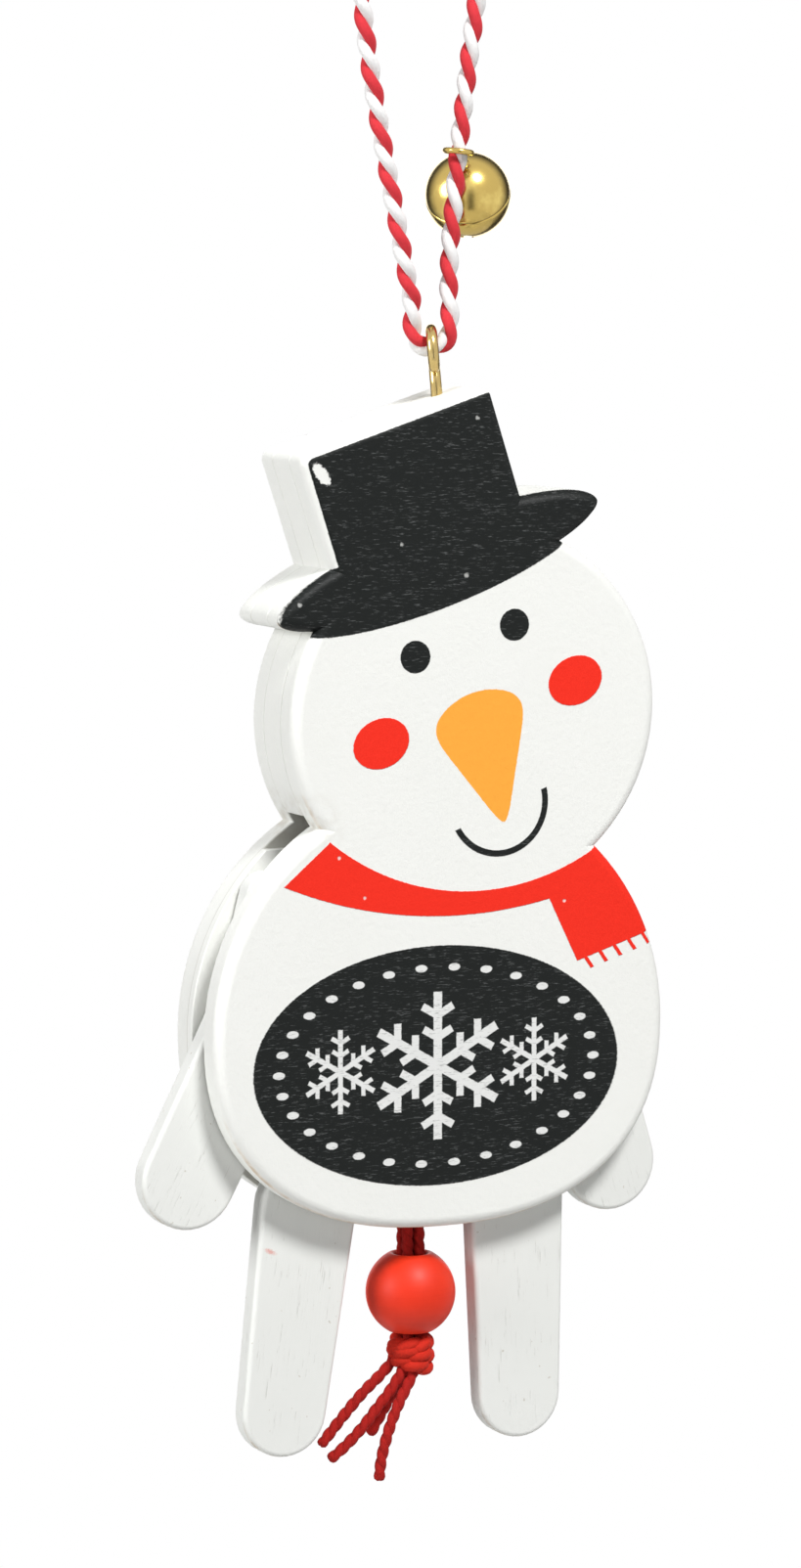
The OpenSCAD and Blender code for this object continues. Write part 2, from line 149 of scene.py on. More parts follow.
def rounded_ends(line, radius, reach):
    """Radius along a line that closes in a round end at both ends."""
    run = run_along(line)
    near = np.clip(np.minimum(run, run[-1] - run) / reach, 0.02, 1)
    return radius * np.sqrt(1 - (1 - near) ** 2)


def ply_lines(line, plies, lay, pitch, phase=0.0):
    """Middle lines of the plies that wind round a line, as twine is laid to the left."""
    _, side, third = directions_along(line)
    run = run_along(line)
    for k in range(plies):
        turn = phase + 2 * math.pi * (k / plies - run / pitch)
        yield line + lay * (np.cos(turn)[:, None] * side + np.sin(turn)[:, None] * third)


def mesh_piece(name, parts, slots=None):
    """One object, in metres, of several (corners, faces) parts in mm, each with a material slot."""
    corners, faces, kinds = [], [], []
    for n, (c, f) in enumerate(parts):
        first = sum(len(x) for x in corners)
        corners.append(np.asarray(c) * MM)
        faces += [tuple(first + i for i in face) for face in f]
        kinds += [slots[n] if slots else 0] * len(f)
    mesh = bpy.data.meshes.new(name)
    mesh.from_pydata(np.concatenate(corners).tolist(), [], faces)
    mesh.polygons.foreach_set("use_smooth", [True] * len(faces))
    mesh.polygons.foreach_set("material_index", kinds)
    mesh.update()
    piece = bpy.data.objects.new(name, mesh)
    bpy.context.scene.collection.objects.link(piece)
    return piece


def spun_parts(route, plies, ply_r, lay, pitch, phase=0.0, step=0.22):
    """The smooth line of a route, and the tubes of the plies that wind round it."""
    line = smooth_line(route, step)
    return line, [tube_parts(p, rounded_ends(p, ply_r, 1.2 * ply_r))
                  for p in ply_lines(line, plies, lay, pitch, phase)]


print("cord helpers: tube_parts, ply_lines, mesh_piece, spun_parts")

# %% [markdown]
# ## Hanging twine
# One red and one white ply, about 1.9 mm thick together, run from the knot down the left strand,
# through the eye and up the right strand. The two plies are separate tubes in one mesh, so each
# can have its own dye, and the stripes come from the twist itself and not from a painted pattern.

# %% Hanging twine
twine_route = [
    (-3, 0, 44.6), (-5.3, 0, 43.2), (-7.2, 0, 40.7), (-7.95, 0, 37.4), (-7.6, 0, 33), (-6.8, 0, 27.5),
    (-5.6, 0, 21), (-4.3, 0, 14.5), (-3, 0, 8), (-2.15, 0.3, 4.4), (-2, 0.6, 2.2), (-1.48, 0.48, 0.65),
    (-0.2, 0, 0.15), (1.08, -0.48, 0.65), (1.6, -0.6, 2.2), (1.65, -0.3, 5), (1.9, 0, 10),
    (2.35, 0, 15), (2.85, 0, 20), (3.5, 0, 25.2), (4.2, 0, 30.6), (4.85, 0, 35.2), (5.1, 0, 38.3),
    (4.5, 0, 41.2), (2.4, 0, 43.5), (0, 0, 44.6)]
twine_d, twine_pitch, twine_ply_r, twine_lay = 1.9, 5.25, 0.59, 0.4
twine_line, twine_parts = spun_parts(twine_route, 2, twine_ply_r, twine_lay, twine_pitch, phase=2.09)
twine = mesh_piece("hanging_twine", twine_parts, slots=[0, 1])
print("twine", round(run_along(twine_line)[-1], 1), "mm long,", len(twine.data.vertices), "corners")

# %% [markdown]
# ## Knot of the loop
# The ends of the twine are tied together above the view of the photograph. The knot is wound from the
# same twine: two turns round the standing ends, and two cut ends that stand up out of it.

# %% Knot of the loop
loop_knot = np.array((-1.5, 0, 45.0))
knot_r, knot_h, knot_ply_r, knot_lay = 1.5, 2.5, 0.53, 0.42
tail_lean, tail_length, tail_bow = 0.28, 8.0, 0.006
turns = np.linspace(0, 2 * math.pi * 2.1, 60)
wrap = np.stack([knot_r * np.cos(turns), knot_r * np.sin(turns), knot_h * (turns / turns[-1] - 0.5)], axis=1)
wrap[[0, -1]] *= (0.5, 0.5, 1)
knot_parts = spun_parts(loop_knot + wrap, 2, knot_ply_r, knot_lay, twine_pitch)[1]
for side in (-1, 1):
    tail = [loop_knot + (side * (0.95 + s * math.sin(tail_lean)), side * tail_bow * s * s,
                         s * math.cos(tail_lean)) for s in np.linspace(0, tail_length, 9)]
    knot_parts += spun_parts(tail, 2, knot_ply_r, knot_lay, twine_pitch, phase=1 + side)[1]
twine_knot = mesh_piece("loop_knot", knot_parts, slots=[0, 1] * 3)
print("loop knot of", len(twine_knot.data.vertices), "corners")

# %% [markdown]
# ## Pull strings
# Four dark red strings leave the string holes of the limbs, meet in the slot, go down through the
# bead and the knot, and end in a short tassel. They repeat the routes of the solids, measured from the
# middle of the bead, as two fine plies each.

# %% Pull strings
bead_middle = np.array((-2.47019, 0, -96.9973))
string_routes = {
    "left_arm_string": [
        (-12.5, 1.4, 33.6), (-9.6, 1.4, 31.8), (-6.7, 1.1, 29.9), (-3.9, 0.3, 27.9), (-1.9, -0.4, 25.5),
        (-0.9, -0.7, 22.4), (-0.75, -0.7, 17), (-0.65, -0.65, 6), (-0.65, -0.65, -5), (-1.1, -0.7, -7.7),
        (-2.4, -0.8, -9.7), (-4.1, -0.8, -11.7), (-5.9, -0.7, -13.8), (-7.7, -0.6, -15.5),
        (-9.4, -0.5, -16.8)],
    "right_arm_string": [
        (12.5, 1.4, 33.6), (9.6, 1.4, 31.8), (6.7, 1.1, 29.9), (3.9, 0.3, 27.9), (1.9, -0.4, 25.5),
        (0.9, -0.7, 22.4), (0.75, -0.7, 17), (0.65, -0.65, 6), (0.65, -0.65, -5), (0.2, -0.9, -7.5),
        (-0.8, -1.3, -9.3), (-1.9, -1.6, -11), (-2.8, -1.6, -13), (-3.5, -1.5, -15.2),
        (-3.9, -1.3, -17.2), (-4.1, -1.2, -19.3)],
    "left_leg_string": [
        (-4.9, 1.4, 19), (-3.9, 1.4, 17), (-2.4, 1.2, 14.4), (-1.2, 0.85, 11.4), (-0.7, 0.65, 8),
        (-0.65, 0.65, 5), (-0.65, 0.65, -5), (-1.6, 0.6, -7), (-3.2, 0.5, -8.6), (-5, 0.45, -10.1),
        (-7.2, 0.4, -12.3), (-8.9, 0.3, -14.1), (-10.1, 0.2, -15.4)],
    "right_leg_string": [
        (4.9, 1.4, 19), (3.9, 1.4, 17), (2.4, 1.2, 14.4), (1.2, 0.85, 11.4), (0.7, 0.65, 8),
        (0.65, 0.65, 5), (0.65, 0.65, -5), (0.3, 0.8, -7.6), (-0.6, 1, -9.3), (-1.9, 1.2, -11.4),
        (-3.2, 1.3, -13.6), (-4.1, 1.3, -15)]}
string_d, string_ply_r, string_lay, string_pitch = 1.2, 0.46, 0.16, 2.6
strings, string_lines = {}, {}
for n, (name, route) in enumerate(string_routes.items()):
    line, parts = spun_parts(
        bead_middle + np.array(route), 2, string_ply_r, string_lay, string_pitch, phase=n)
    strings[name] = mesh_piece(name + "_spun", parts)
    string_lines[name] = line
    print(name, round(run_along(line)[-1], 1), "mm")

# %% [markdown]
# ## Ties in the limbs
# Each string is knotted and glued into the hole at the root of its limb. A tie fills its hole with a
# bundle of three short plies, flush with both faces of the limb.

# %% Ties in the limbs
tie_ply_r, tie_lay, tie_pitch, tie_inset = 0.41, 0.44, 3.4, 0.02
ties = {}
for name in ("left_arm_tie", "right_arm_tie", "left_leg_tie", "right_leg_tie"):
    low, high = (np.array(c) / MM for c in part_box(name))
    x, z = (low + high)[[0, 2]] / 2
    route = [(x, y, z) for y in np.linspace(low[1] + tie_inset, high[1] - tie_inset, 5)]
    plies = spun_parts(route, 3, tie_ply_r, tie_lay, tie_pitch, step=0.15)[1]
    ties[name] = mesh_piece(name + "_plug", plies)
print("ties:", len(ties))

# %% [markdown]
# ## Knot under the bead
# The four strings are tied in one stopper knot under the bead. It shows thick turns that slant down
# to the right, so it is wound from three lengths of the same string round the bundle.

# %% Knot under the bead
knot_middle = np.array((-2.47019, 0, -103.547))
stopper_ply_r, stopper_lay, stopper_pitch = 0.62, 0.28, 3.4
stopper_turns = ((2.2, 1.2, 1.6, 0.04), (0.9, 0.25, 1.66, -0.26), (2.6, -0.85, 1.5, -0.36))
knot_turns = []
for start, lift, girth, lean in stopper_turns:
    turn = np.linspace(0, 2 * math.pi * 1.12, 44)
    ease = 1 - 0.35 * np.clip(1 - np.minimum(turn, turn[-1] - turn) / 0.7, 0, 1)
    route = np.stack([
        girth * ease * np.cos(turn + start), girth * ease * np.sin(turn + start),
        lift + lean * girth * np.cos(turn + start) - 0.15 + 0.3 * turn / turn[-1]], axis=1)
    knot_turns += spun_parts(
        knot_middle + route, 2, stopper_ply_r, stopper_lay, stopper_pitch, phase=start)[1]
pull_knot = mesh_piece("pull_knot_turns", knot_turns)
print("pull knot of", len(pull_knot.data.vertices), "corners")

# %% [markdown]
# ## Outlines of the boards
# The boards and limbs are sawn from sheet and their edges are sanded round. A bevel modifier would
# do that on a plain block, but it folds where the brim of the hat is narrow. So the outline is read from
# the flat face of the solid, and a slab is built from it in rings, with a rounding that gets smaller
# where the outline bends sharply. The shading normals are written with it.

# %% Outline of a flat face
def face_outlines(node, y):
    """Closed outlines, in mm, of a solid's flat face at this y: the outer one, then its holes."""
    mesh = solids[node].data
    corners = np.array([v.co for v in mesh.vertices]) / MM
    places = [tuple(np.round(c[[0, 2]], 3)) for c in corners]
    mesh.calc_loop_triangles()
    edges = set()
    for triangle in mesh.loop_triangles:
        if all(abs(corners[i][1] - y) < 0.002 for i in triangle.vertices):
            a, b, c = (places[i] for i in triangle.vertices)
            edges |= {(a, b), (b, c), (c, a)}
    rim = {a: b for a, b in edges if (b, a) not in edges}
    outlines = []
    while rim:
        start, at = rim.popitem()
        outline = [start]
        while at != start:
            outline.append(at)
            at = rim.pop(at)
        p = np.array(outline)
        p = p[np.linalg.norm(p - np.roll(p, 1, axis=0), axis=1) > 0.03]
        area = 0.5 * np.sum(p[:, 0] * np.roll(p[:, 1], -1) - p[:, 1] * np.roll(p[:, 0], -1))
        outlines.append((abs(area), p if area > 0 else p[::-1]))
    return [p for area, p in sorted(outlines, key=lambda o: -o[0])]


print("outline helper: face_outlines")

# %% Directions and rounding of an outline
def outline_facts(outline):
    """Outward directions of edges and corners, mitred offsets, turns and edge lengths."""
    step_on = np.roll(outline, -1, axis=0) - outline
    length = np.linalg.norm(step_on, axis=1)
    out_edge = np.stack([step_on[:, 1], -step_on[:, 0]], axis=1) / length[:, None]
    before = np.roll(out_edge, 1, axis=0)
    turn = np.arcsin(np.clip(before[:, 0] * out_edge[:, 1] - before[:, 1] * out_edge[:, 0], -1, 1))
    out = unit(before + out_edge)
    mitre = out / np.sum(out * out_edge, axis=1, keepdims=True)
    return out_edge, out, mitre, turn, length


def rounding_share(length, turn, radius):
    """Share of the full rounding at each corner: less near sharp bends."""
    bend_r = (length + np.roll(length, 1)) / 2 / np.maximum(turn, 1e-4)
    run = np.r_[0, np.cumsum(length)[:-1]]
    apart = np.abs(run[:, None] - run[None])
    apart = np.minimum(apart, length.sum() - apart)
    share = np.min(np.minimum(1, 0.75 * bend_r / radius)[None] + 0.3 * apart, axis=1)
    return np.clip(share, 0.1, 1)


print("rounding helpers: outline_facts, rounding_share")

# %% The rounded side of a slab
def rounded_side(outline, y_front, y_back, r_front, r_back, steps=7):
    """Corners, faces and normals of a slab's side, from its front ring to its back ring."""
    out_edge, out, mitre, turn, length = outline_facts(outline)
    share = rounding_share(length, turn, max(r_front, r_back))
    rings, leans = [], []
    for r, y, way in ((r_front, y_front, 1), (r_back, y_back, -1)):
        for k in range(steps + 1):
            a = math.pi / 2 * (k / steps if way > 0 else 1 - k / steps)
            ring = outline - mitre * (r * share * (1 - math.sin(a)))[:, None]
            depth = y + way * r * share * (1 - math.cos(a))
            rings.append(np.stack([ring[:, 0], depth, ring[:, 1]], axis=1))
            leans.append((math.sin(a), -way * math.cos(a)))
    count, sharp = len(outline), np.abs(turn) > math.radians(25)
    faces, normals = [], []
    for j in range(len(rings) - 1):
        for i in range(count):
            n = (i + 1) % count
            near = out_edge[i] if sharp[i] else out[i]
            far = out_edge[i] if sharp[n] else out[n]
            faces.append((j * count + i, (j + 1) * count + i, (j + 1) * count + n, j * count + n))
            for flat, (lean, back) in ((near, leans[j]), (near, leans[j + 1]),
                                       (far, leans[j + 1]), (far, leans[j])):
                normals.append((flat[0] * lean, back, flat[1] * lean))
    return np.concatenate(rings), faces, normals


print("side helper: rounded_side")

# %% A slab with sanded edges
def filled_face(corners, loops, way):
    """Triangles between an outline and its holes that face this way along y."""
    index = [i for loop in loops for i in loop]
    flat = [[Vector((corners[i][0], corners[i][2], 0)) for i in loop] for loop in loops]
    triangles = []
    for triangle in tessellate_polygon(flat):
        a, b, c = (index[i] for i in triangle)
        u, v = corners[b] - corners[a], corners[c] - corners[a]
        facing = u[2] * v[0] - u[0] * v[2]
        triangles.append((a, c, b) if facing * way < 0 else (a, b, c))
    return triangles


def sanded_slab(name, outline, holes, y_front, y_back, r_front, r_back):
    """A flat piece between two y, in mm, with rounded edges; holes go right through it."""
    corners, faces, normals = rounded_side(outline, y_front, y_back, r_front, r_back)
    front = [range(len(outline))]
    back = [range(len(corners) - len(outline), len(corners))]
    for hole in holes:
        for y, loops in ((y_front, front), (y_back, back)):
            loops.append(range(len(corners), len(corners) + len(hole)))
            rim = np.stack([hole[:, 0], np.full(len(hole), y), hole[:, 1]], axis=1)
            corners = np.concatenate([corners, rim])
    for loops, way in ((front, -1), (back, 1)):
        triangles = filled_face(corners, loops, way)
        faces += triangles
        normals += [(0, way, 0)] * (3 * len(triangles))
    for hole, near, far in zip(holes, front[1:], back[1:]):
        inward = unit(hole.mean(axis=0) - hole)
        for i in range(len(hole)):
            n = (i + 1) % len(hole)
            faces.append((near[i], near[n], far[n], far[i]))
            normals += [(inward[k][0], 0, inward[k][1]) for k in (i, n, n, i)]
    piece = mesh_piece(name, [(corners, faces)])
    piece.data.normals_split_custom_set(normals)
    return piece


print("slab helpers: filled_face, sanded_slab")

# %% [markdown]
# ## Boards and spacer
# The front board, the spacer of the head and the back board have the same outline above the neck.
# They are glued in that order, so the layers show as fine lines on the edge. The outer edges are
# sanded round, the inner ones are only broken, and below the head the slot stays open. Along the
# shoulders the back board has a low rim, which closes the slot behind the arms.

# %% Boards and spacer
board_layers = {
    "front_board": (1.15, 0.22),
    "head_spacer": (0.16, 0.16),
    "back_board": (0.22, 1.15)}
boards = {}
slot_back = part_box("head_spacer")[1][1] / MM
for node, (r_front, r_back) in board_layers.items():
    y_front, y_back = (c[1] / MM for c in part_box(node))
    if node == "back_board":
        y_front = slot_back
    plain_face = y_back if node == "back_board" else y_front
    outline = face_outlines(node, plain_face)[0]
    boards[node] = sanded_slab(node + "_sanded", outline, [], y_front, y_back, r_front, r_back)
    print(node, "outline of", len(outline), "points,", len(boards[node].data.polygons), "faces")
rim_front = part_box("back_board")[0][1] / MM
rims = []
rim_seat = slot_back + 0.3
for outline in face_outlines("back_board", rim_front):
    name = "shoulder_rim_" + str(len(rims))
    rims.append(sanded_slab(name, outline, [], rim_front, rim_seat, 0.15, 0.05))
print("shoulder rims:", len(rims))

# %% [markdown]
# ## Arms and legs
# A limb is a tongue of thinner sheet with two holes: one for its pin and one, at the end of a short ear
# inside the slot, for its string. The same slab builder makes them, with the holes right through.

# %% Arms and legs
limbs = {}
for node in ("left_arm", "right_arm", "left_leg", "right_leg"):
    y_front, y_back = (c[1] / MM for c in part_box(node))
    outline, *holes = face_outlines(node, y_front)
    limbs[node] = sanded_slab(node + "_sanded", outline, holes, y_front, y_back, 0.5, 0.35)
    print(node, "with", len(holes), "holes,", len(limbs[node].data.polygons), "faces")

# %% [markdown]
# ## Screw eye
# A brass wire is bent into a ring above a straight shank that screws into the top of the hat. One
# tube along one bent line shows how the wire closes against its own shank, which a torus on a rod
# does not. The thread is a ripple of the tube's radius on the part inside the wood.

# %% Screw eye
eye_turn = Matrix.Rotation(math.radians(-5.5), 3, "Y") @ Matrix.Rotation(math.radians(-24), 3, "Z")
eye_r, eye_wire_r, thread_top, thread_pitch = 2, 0.6, -5.6, 0.9
ring_angle = np.linspace(math.radians(-68), math.radians(262), 64)
eye_line = [(0, 0, z) for z in np.linspace(-13.4, -3.4, 41)] + [(0, 0.16, -2.75)]
eye_line += [(0, eye_r * math.cos(a), eye_r * math.sin(a)) for a in ring_angle]
eye_line = smooth_line(eye_line, 0.12)
wire_r = rounded_ends(eye_line, eye_wire_r, 0.9)
height = eye_line[:, 2]
thread = 0.9 + 0.1 * np.cos(height * 2 * math.pi / thread_pitch)
wire_r = np.where(height < thread_top, wire_r * thread, wire_r)
eye_corners, eye_faces = tube_parts(eye_line, wire_r, 20)
screw_eye = mesh_piece("screw_eye_wire", [(eye_corners @ np.array(eye_turn).T, eye_faces)])
print("screw eye wire", len(screw_eye.data.vertices), "corners")

# %% [markdown]
# ## Bell
# The bell is pressed from two halves of brass. The lower one has two crossed slots with round
# ends. Each half is turned from its wall's profile, and the slots are cut by boolean modifiers, which are
# then applied, because their round ends meet the ball at a slant that is hard to model by hand.

# %% Turned pieces
def turned_parts(profile, sides=96):
    """Corners and faces of a closed profile of (radius, height) points turned round z, in mm."""
    turn = np.arange(sides) * 2 * math.pi / sides
    profile = np.array(profile, float)
    rings = np.stack([
        profile[:, :1] * np.cos(turn), profile[:, :1] * np.sin(turn),
        np.repeat(profile[:, 1:], sides, axis=1)], axis=2)
    count, faces = len(profile), []
    for i in range(count):
        j = (i + 1) % count
        for k in range(sides):
            n = (k + 1) % sides
            faces.append((i * sides + k, i * sides + n, j * sides + n, j * sides + k))
    return rings.reshape(-1, 3), faces


def arc(middle, r, start, end, steps):
    return [(middle[0] + r * math.cos(math.radians(a)), middle[1] + r * math.sin(math.radians(a)))
            for a in np.linspace(start, end, steps)]


print("turning helpers: turned_parts, arc")

# %% Halves of the bell
bell_middle = np.array((5.97599, 4.46438, 15.6))
bell_lean = math.atan2(4.1, 4.4)
bell_turn = np.array(Matrix.Rotation(math.radians(235), 3, "Z") @ Matrix.Rotation(bell_lean, 3, "Y"))
bell_r, bell_bore = 4.4, 3.95
seam = 0.09


def bell_half(name, side):
    outer = arc((0, 0), bell_r, 2.2, 89.2, 40)
    inner = arc((0, 0), bell_bore, 89.2, 1.5, 32)
    lip = [(bell_bore + seam, 0.02), (bell_r - seam, 0.02), (bell_r - 0.02, seam)]
    profile = [(r, side * z) for r, z in outer + inner + lip]
    if side < 0:
        profile = profile[::-1]
    return mesh_piece(name, [turned_parts(profile)])


bell_upper = bell_half("bell_upper_half", 1)
bell_lower = bell_half("bell_lower_half", -1)
print("bell halves with a wall of", round(bell_r - bell_bore, 2), "mm")

# %% Slots of the bell
slot_w, slot_end_r, slot_reach, cut_low = 0.9, 0.75, math.radians(52), -6
cutters = []
for turn in (0, 90):
    reach, top = bell_r * math.sin(slot_reach), -bell_r * math.cos(slot_reach)
    bpy.ops.mesh.primitive_cube_add(size=1, location=(0, 0, (top + cut_low) / 2 * MM))
    bar = bpy.context.object
    bar.scale = (2 * reach * MM, slot_w * MM, (top - cut_low) * MM)
    bar.rotation_euler = (0, 0, math.radians(turn))
    cutters.append(bar)
    for side in (-1, 1):
        lean = Matrix.Rotation(math.pi + side * slot_reach, 4, "Y")
        bpy.ops.mesh.primitive_cylinder_add(vertices=40, radius=slot_end_r * MM, depth=4 * MM)
        end = bpy.context.object
        turned = Matrix.Rotation(math.radians(turn), 4, "Z") @ lean
        end.matrix_world = turned @ Matrix.Translation((0, 0, 4.2 * MM))
        cutters.append(end)
for n, cutter in enumerate(cutters):
    cut = bell_lower.modifiers.new("slot" + str(n), "BOOLEAN")
    cut.object, cut.operation, cut.solver = cutter, "DIFFERENCE", "EXACT"
broken = bell_lower.modifiers.new("broken_edges", "BEVEL")
broken.width, broken.segments = 0.05 * MM, 2
broken.limit_method, broken.angle_limit = "ANGLE", math.radians(50)
bpy.context.view_layer.update()
cut_bell = bell_lower.evaluated_get(bpy.context.evaluated_depsgraph_get())
cut_mesh = bpy.data.meshes.new_from_object(cut_bell)
bell_lower.modifiers.clear()
bell_lower.data = cut_mesh
for cutter in cutters:
    bpy.data.objects.remove(cutter)
for half in (bell_upper, bell_lower):
    half.data.transform(Matrix.Translation(bell_middle * MM) @ Matrix(bell_turn).to_4x4())
    half.data.polygons.foreach_set("use_smooth", [True] * len(half.data.polygons))
    half.data.set_sharp_from_angle(angle=math.radians(35))
print("bell halves", len(bell_upper.data.polygons), "and", len(bell_lower.data.polygons), "faces")

# %% [markdown]
# ## Loop of the bell
# A wire ring round the strand of twine, with a stem through the top of the ball. Ring and stem are
# tubes along their own lines, and the stem widens a little where it meets the ball, as solder does.

# %% Loop of the bell
strand_lean = math.radians(6.43)
ring_middle = np.array((2.85, 0, 20.0))
ring_turn = np.array(Matrix.Rotation(strand_lean, 3, "Y"))
wire, ring_r, wire_sides = 0.3, 1.35, 16
wire_profile = arc((ring_r, 0), wire, 0, 360 - 360 / wire_sides, wire_sides)
ring_corners, ring_faces = turned_parts(wire_profile, 72)
stem_run = np.linspace(3.6, 6.0, 30)
stem_line = np.stack([0 * stem_run, 0 * stem_run, stem_run], axis=1)
stem_r = wire + 0.35 * np.exp(-((stem_run - bell_r) / 0.22) ** 2)
stem_corners, stem_faces = tube_parts(stem_line, stem_r, 20)
bell_loop = mesh_piece("bell_wire_loop", [
    (ring_middle + ring_corners @ ring_turn.T, ring_faces),
    (bell_middle + stem_corners @ bell_turn.T, stem_faces)])
print("bell loop", len(bell_loop.data.polygons), "faces")

# %% [markdown]
# ## Bead
# A turned wooden bead with flattened ends and a bore. One profile turned round the string has the round
# shoulder into the bore, which a sphere with a hole would lack.

# %% Bead
bead_r, bore_r, lip_r = 4.65, 1.7, 0.4
lip_angle = math.degrees(math.acos((bore_r + lip_r) / (bead_r - lip_r)))
belly = arc((0, 0), bead_r, -lip_angle, lip_angle, 49)
lip_height = (bead_r - lip_r) * math.sin(math.radians(lip_angle))
top_lip = arc((bore_r + lip_r, lip_height), lip_r, lip_angle, 180, 11)[1:]
bead_profile = belly + top_lip + [(r, -z) for r, z in top_lip[::-1]]
bead_corners, bead_faces = turned_parts(bead_profile, 80)
bead = mesh_piece("turned_bead", [(bead_corners + bead_middle, bead_faces)])
print("bead", len(bead.data.polygons), "faces")

# %% [markdown]
# ## Which body each piece rides on
# Every piece moves with the body of the solid that it replaces, and that solid is hidden. For the strings
# and the twine, the start, length and points of their lines are worked out but not kept.

# %% Bodies and cords
stands_for = {
    twine: ("root", "twine", "hanger_cord"), twine_knot: ("root", "twine", "hanger_knot"),
    screw_eye: ("root", "brass", "screw_eye"), bead: ("pull", "bead_lacquer", "pull_bead"),
    pull_knot: ("pull", "red_string", "pull_knot"), bell_upper: ("bell", "brass", "bell_upper"),
    bell_lower: ("bell", "brass", "bell_lower"), bell_loop: ("bell", "brass", "bell_loop")}
stands_for.update({piece: ("root", "painted_board", node) for node, piece in boards.items()})
stands_for.update({piece: ("root", "painted_board", "back_board") for piece in rims})
stands_for.update({piece: (node, "painted_limb", node) for node, piece in limbs.items()})
stands_for.update({piece: ("pull", "red_string", node) for node, piece in strings.items()})
stands_for.update({piece: (node[:-4], "red_string", node) for node, piece in ties.items()})
for piece, (body, slot, node) in stands_for.items():
    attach(piece, body)
    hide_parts(node)


def declare_cord(piece, line, diameter, **facts):
    tuple(line[0] * MM)
    run_along(line)[-1] * MM
    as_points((line[::2] * MM).tolist() + [(line[-1] * MM).tolist()])


declare_cord(twine, twine_line, twine_d, far_end="knot", lay="hanging",
             with_pieces=[twine_knot, bell_upper, bell_lower, bell_loop])
for name, piece in strings.items():
    declare_cord(piece, string_lines[name], string_d, far_end="bare", lay="hanging",
                 with_pieces=[bead, pull_knot] if name == "left_arm_string" else [])
print("pieces:", len(stands_for), "cords:", 1 + len(strings))

# %% [markdown]
# ## Shader values as Python expressions
# A material's pattern is arithmetic on places: a dot is a distance, a stroke is the gap between two
# distances. Wiring that by hand is slow to read, so one small class wraps a socket. Its operators add
# Math nodes, and one method adds any other node.

# %% A value in a material
class Dye:
    """A socket of a material's node tree that can be used in expressions."""

    def __init__(self, tree, socket=None):
        self.tree, self.socket = tree, socket

    def node(self, kind, settings=None, sockets=None, out=0):
        made = self.tree.nodes.new(kind)
        for key, value in (settings or {}).items():
            setattr(made, key, value)
        for key, value in (sockets or {}).items():
            if isinstance(value, Dye):
                self.tree.links.new(value.socket, made.inputs[key])
            else:
                made.inputs[key].default_value = value
        return Dye(self.tree, made.outputs[out])

    def maths(self, operation, *operands, clamp=False):
        return self.node("ShaderNodeMath", {"operation": operation, "use_clamp": clamp},
                         dict(enumerate(operands)))

    def __add__(self, other):
        return self.maths("ADD", self, other)

    def __radd__(self, other):
        return self.maths("ADD", other, self)

    def __sub__(self, other):
        return self.maths("SUBTRACT", self, other)

    def __rsub__(self, other):
        return self.maths("SUBTRACT", other, self)

    def __mul__(self, other):
        return self.maths("MULTIPLY", self, other)

    def __rmul__(self, other):
        return self.maths("MULTIPLY", other, self)

    def __abs__(self):
        return self.maths("ABSOLUTE", self)

    def by(self, operation, *others):
        """Any other Math operation with this value first."""
        return self.maths(operation, self, *others)

    def high(self, other):
        return self.by("MAXIMUM", other)

    def low(self, other):
        return self.by("MINIMUM", other)

    def soft_high(self, other, reach):
        return self.by("SMOOTH_MAX", other, reach)

    def ink(self, softness):
        """1 inside a shape, 0 outside, from its distance."""
        return self.maths("MULTIPLY_ADD", self, -1 / softness, 0.5, clamp=True)

    def mix(self, first, second):
        """A colour between two, by this value."""
        return self.node("ShaderNodeMix", {"data_type": "RGBA"}, {0: self, 6: first, 7: second}, out=2)


print("shader values: Dye")

# %% A new finish
def new_finish(name):
    """A material with its Principled node, a starting value and the place on the piece in mm."""
    material = bpy.data.materials.new(name)
    material.use_nodes = True
    tree = material.node_tree
    skin = tree.nodes["Principled BSDF"]
    start = Dye(tree)
    place = start.node("ShaderNodeTexCoord", out="Object")
    place = start.node("ShaderNodeVectorMath", {"operation": "SCALE"}, {0: place, 3: 1000})
    xyz = [start.node("ShaderNodeSeparateXYZ", None, {0: place}, out=k) for k in range(3)]
    return material, skin, start, place, xyz


def feed(skin, socket, value):
    if isinstance(value, Dye):
        value.tree.links.new(value.socket, skin.inputs[socket])
    else:
        skin.inputs[socket].default_value = value


def facing_up(start):
    """How far the surface faces up, from -1 to 1."""
    facing = start.node("ShaderNodeTexCoord", out="Normal")
    return start.node("ShaderNodeSeparateXYZ", None, {0: facing}, out=2)


def grain(start, place, cycles, scale=1.0, detail=3.0, roughness=0.55):
    """Noise from 0 to 1, in cycles per mm: one number for all axes, or one for each."""
    cycles = np.broadcast_to(cycles, 3).tolist()
    spot = start.node("ShaderNodeVectorMath", {"operation": "MULTIPLY"}, {0: place, 1: cycles})
    return start.node("ShaderNodeTexNoise", None,
                      {"Vector": spot, "Scale": scale, "Detail": detail, "Roughness": roughness})


def bump(start, height, distance, strength):
    return start.node("ShaderNodeBump", None,
                      {"Height": height, "Distance": distance * MM, "Strength": strength})


def rgb(r, g, b):
    return (r, g, b, 1.0)


print("finish helpers: new_finish, feed, facing_up, grain, bump, rgb")

# %% [markdown]
# ## Printed shapes
# The face, hat, scarf and oval are printed on the white board. A picture could be mapped on it, but
# shapes made from distances stay sharp from near and need no file. An oval is a scaled distance from its
# middle, a straight edge is a distance along a direction, and the larger of two distances is where
# both shapes overlap.

